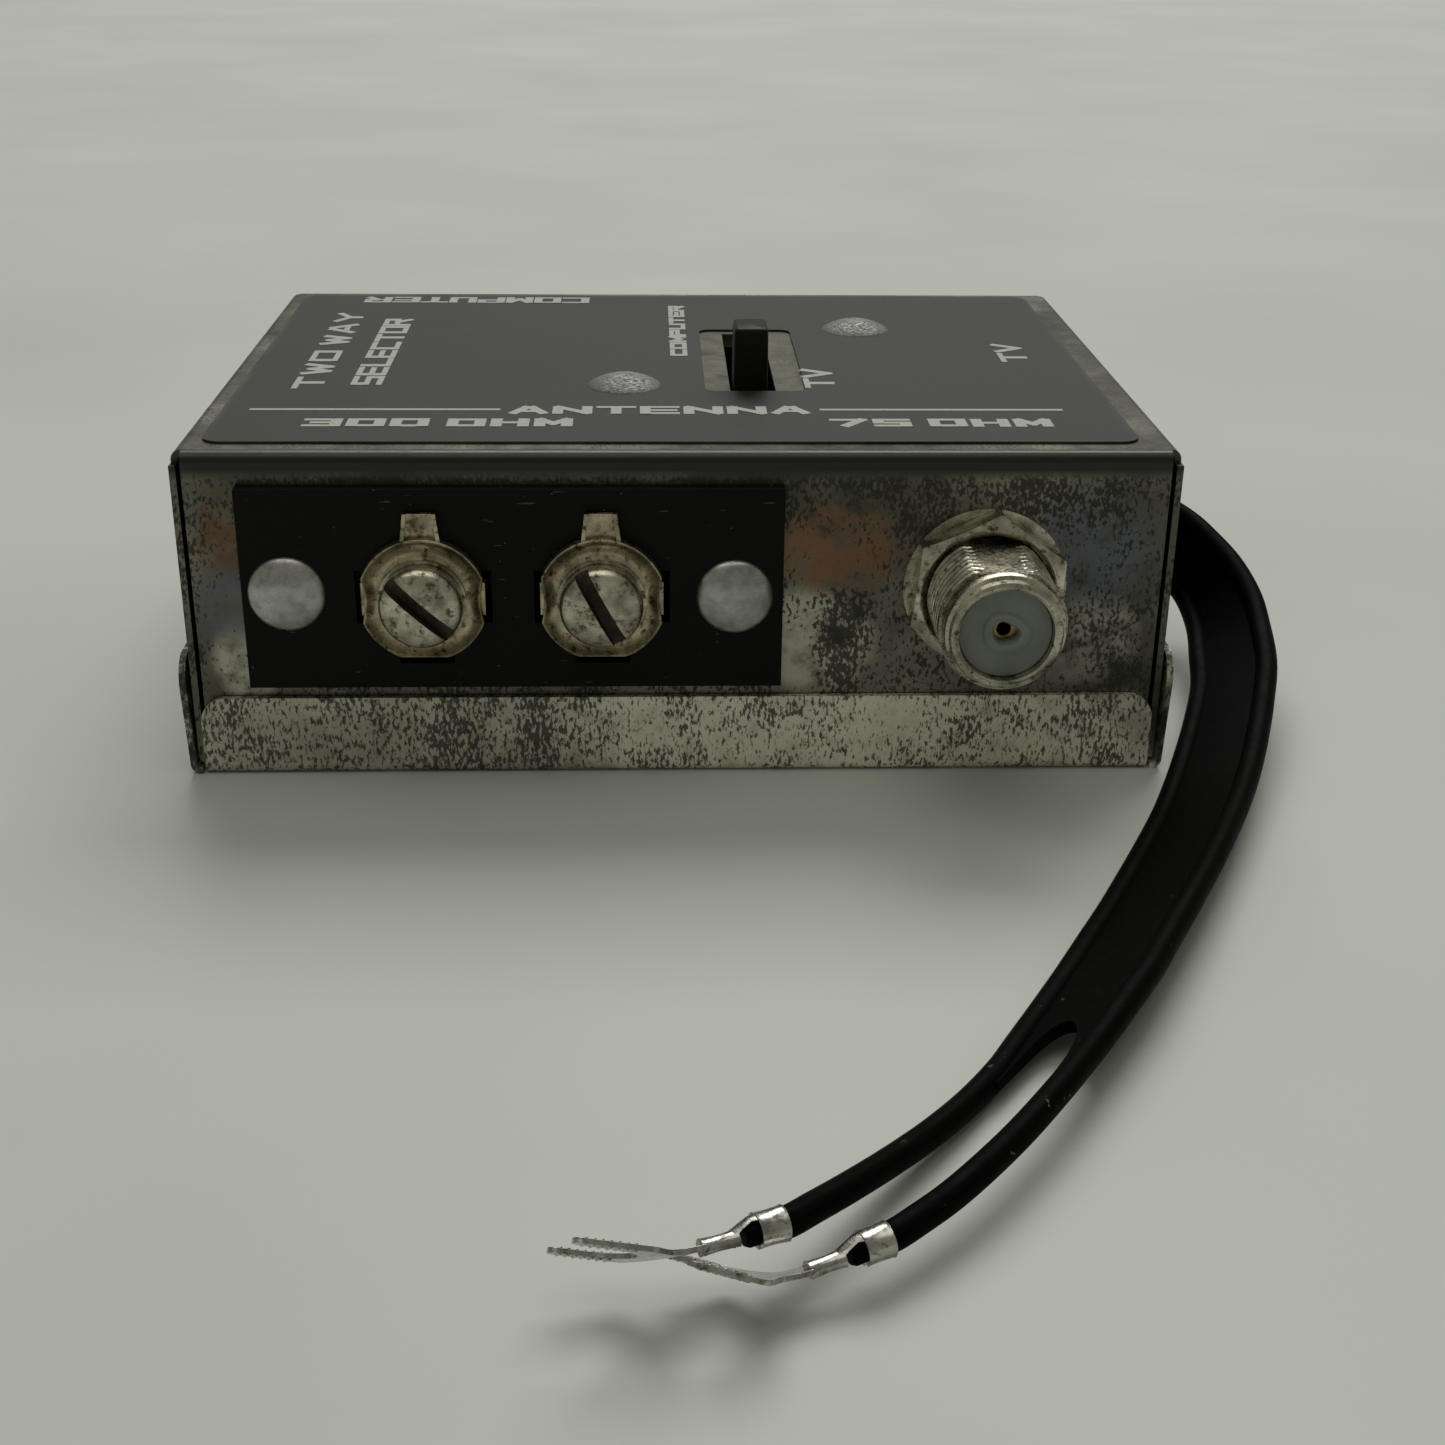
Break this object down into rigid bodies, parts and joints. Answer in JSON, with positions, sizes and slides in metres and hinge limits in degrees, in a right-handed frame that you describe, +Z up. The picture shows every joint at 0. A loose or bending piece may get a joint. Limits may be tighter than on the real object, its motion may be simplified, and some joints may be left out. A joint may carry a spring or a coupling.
{
  "type": "antenna switch box",
  "caption": "Tinplate antenna and computer switch box with a slide switch, screw terminals, threaded and phono sockets, and a short flat lead ending in spade lugs.",
  "frame": {"origin": "middle of the tray's underside, where the box rests", "axes": "+Z up through the top face, -Y out through the wall with the screw terminals, +X towards the wall that the flat lead leaves"},
  "size_m": [0.09, 0.1329, 0.0312],
  "materials": {
    "tinplate": "worn, mottled tin plating",
    "label": "printed dark grey foil",
    "aluminium_rivet": "satin",
    "steel_frame": "satin",
    "laminate_brown": "phenolic laminate",
    "laminate_black": "black phenolic laminate",
    "contact_brass": "satin",
    "black_plastic": "moulded, slightly glossy",
    "spring_steel": "bright",
    "nickel_plate": "dulled nickel",
    "grey_insulator": "moulded",
    "ferrite": "dense grey ferrite",
    "enamel_wire_red": "enamelled",
    "enamel_wire_green": "enamelled",
    "ceramic": "dipped ceramic",
    "wire_insulation": "soft vinyl",
    "lead_vinyl": "black vinyl",
    "tinned_brass": "tinned, dulled"
  },
  "bodies": {
    "tray": {"bottom_cover": "tinplate"},
    "case": {"case_shell": "tinplate", "top_label": "label", "switch_rivets": "aluminium_rivet", "switch_frame": "steel_frame", "switch_base": "laminate_brown", "switch_terminals": "contact_brass", "terminal_board": "laminate_black", "board_rivets": "aluminium_rivet", "terminal_plate_left": "nickel_plate", "terminal_plate_right": "nickel_plate", "f_socket_body": "nickel_plate", "f_lock_washer": "nickel_plate", "f_hex_nut": "nickel_plate", "f_insulator": "grey_insulator", "f_contact": "contact_brass", "phono_sleeve": "tinned_brass", "phono_mount": "laminate_brown", "phono_insulator": "black_plastic", "phono_contact": "contact_brass", "phono_rivets": "aluminium_rivet", "antenna_balun_core": "ferrite", "antenna_balun_winding": "enamel_wire_red", "computer_balun_core": "ferrite", "computer_balun_winding": "enamel_wire_green", "disc_capacitors": "ceramic", "hookup_wires": "wire_insulation", "lead_grommet": "black_plastic", "twin_lead": "lead_vinyl", "lead_leg_inner": "lead_vinyl", "lead_leg_outer": "lead_vinyl", "spade_lug_inner": "tinned_brass", "spade_lug_outer": "tinned_brass"},
    "slider": {"switch_slider": "black_plastic", "switch_contacts": "contact_brass", "detent_ball": "spring_steel", "detent_spring": "spring_steel"},
    "left_clamp": {"clamp_washer_left": "nickel_plate"},
    "left_screw": {"terminal_screw_left": "nickel_plate"},
    "right_clamp": {"clamp_washer_right": "nickel_plate"},
    "right_screw": {"terminal_screw_right": "nickel_plate"}
  },
  "joints": [
    {"name": "case_lift", "type": "slide", "parent": "tray", "child": "case", "axis": [0, 0, 1], "range_m": [0, 0.03]},
    {"name": "switch_slide", "type": "slide", "parent": "case", "child": "slider", "axis": [0, 1, 0], "range_m": [0, 0.0164]},
    {"name": "left_clamp_slide", "type": "slide", "parent": "case", "child": "left_clamp", "axis": [0, -1, 0], "range_m": [0, 0.00238]},
    {"name": "left_screw_turn", "type": "hinge", "parent": "left_clamp", "child": "left_screw", "pos_m": [-0.0195, -0.0312, 0.0151], "axis": [0, -1, 0], "range_deg": [0, 1080]},
    {"name": "right_clamp_slide", "type": "slide", "parent": "case", "child": "right_clamp", "axis": [0, -1, 0], "range_m": [0, 0.00238]},
    {"name": "right_screw_turn", "type": "hinge", "parent": "right_clamp", "child": "right_screw", "pos_m": [-0.006, -0.0312, 0.0151], "axis": [0, -1, 0], "range_deg": [0, 1080]}
  ],
  "couplings": [
    {"joint": "left_screw_turn", "follows": "left_clamp_slide", "rad_per_m": 7915.6},
    {"joint": "right_screw_turn", "follows": "right_clamp_slide", "rad_per_m": 7915.6}
  ]
}
